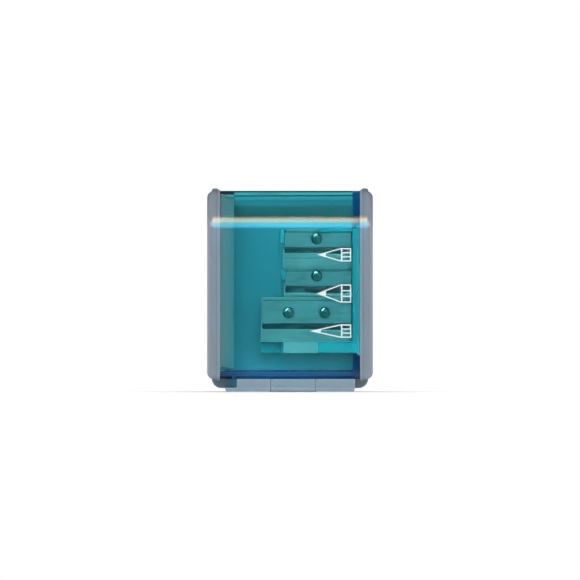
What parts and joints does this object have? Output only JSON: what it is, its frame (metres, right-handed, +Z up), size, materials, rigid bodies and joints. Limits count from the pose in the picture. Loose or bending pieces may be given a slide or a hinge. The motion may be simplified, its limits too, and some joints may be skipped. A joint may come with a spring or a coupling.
{
  "type": "pencil sharpener with shavings container",
  "caption": "Hand-held pencil sharpener: metal wedge blocks for usual, thick and long-point pencils in a clear shavings container with a hinged, latched rear door.",
  "frame": {"origin": "middle of the footprint, on the surface that the container stands on", "axes": "+X to the side that the pencils go in, -Y to the clear window, +Z up"},
  "size_m": [0.057, 0.026, 0.07],
  "materials": {
    "turquoise_clear": "clear tinted, gloss",
    "turquoise_bright": "tinted, gloss",
    "smoke_plastic": "translucent grey, satin",
    "cast_metal": "milled light alloy",
    "blade_steel": "ground",
    "screw_steel": "nickel plated",
    "pin_steel": "drawn wire"
  },
  "bodies": {
    "case": {"front_shell": "turquoise_clear", "left_end_cap": "smoke_plastic", "right_end_cap": "smoke_plastic", "sharpener_carrier": "turquoise_bright", "standard_block": "cast_metal", "wide_block": "cast_metal", "long_point_block": "cast_metal", "standard_blade": "blade_steel", "wide_blade": "blade_steel", "long_point_blade": "blade_steel", "standard_screw": "screw_steel", "wide_screw": "screw_steel", "long_point_screw_mouth": "screw_steel", "long_point_screw_tip": "screw_steel", "left_hinge_pin": "pin_steel", "right_hinge_pin": "pin_steel"},
    "door": {"rear_door": "smoke_plastic"},
    "latch": {"latch_tongue": "smoke_plastic"}
  },
  "joints": [
    {"name": "door_hinge", "type": "hinge", "parent": "case", "child": "door", "pos_m": [0, 0.0096, 0.0679], "axis": [1, 0, 0], "range_deg": [0, 105]},
    {"name": "latch_flex", "type": "hinge", "parent": "door", "child": "latch", "pos_m": [0, 0.004, 0.00077], "axis": [1, 0, 0], "range_deg": [0, 3], "stiffness_Nm_per_rad": 0.7}
  ]
}
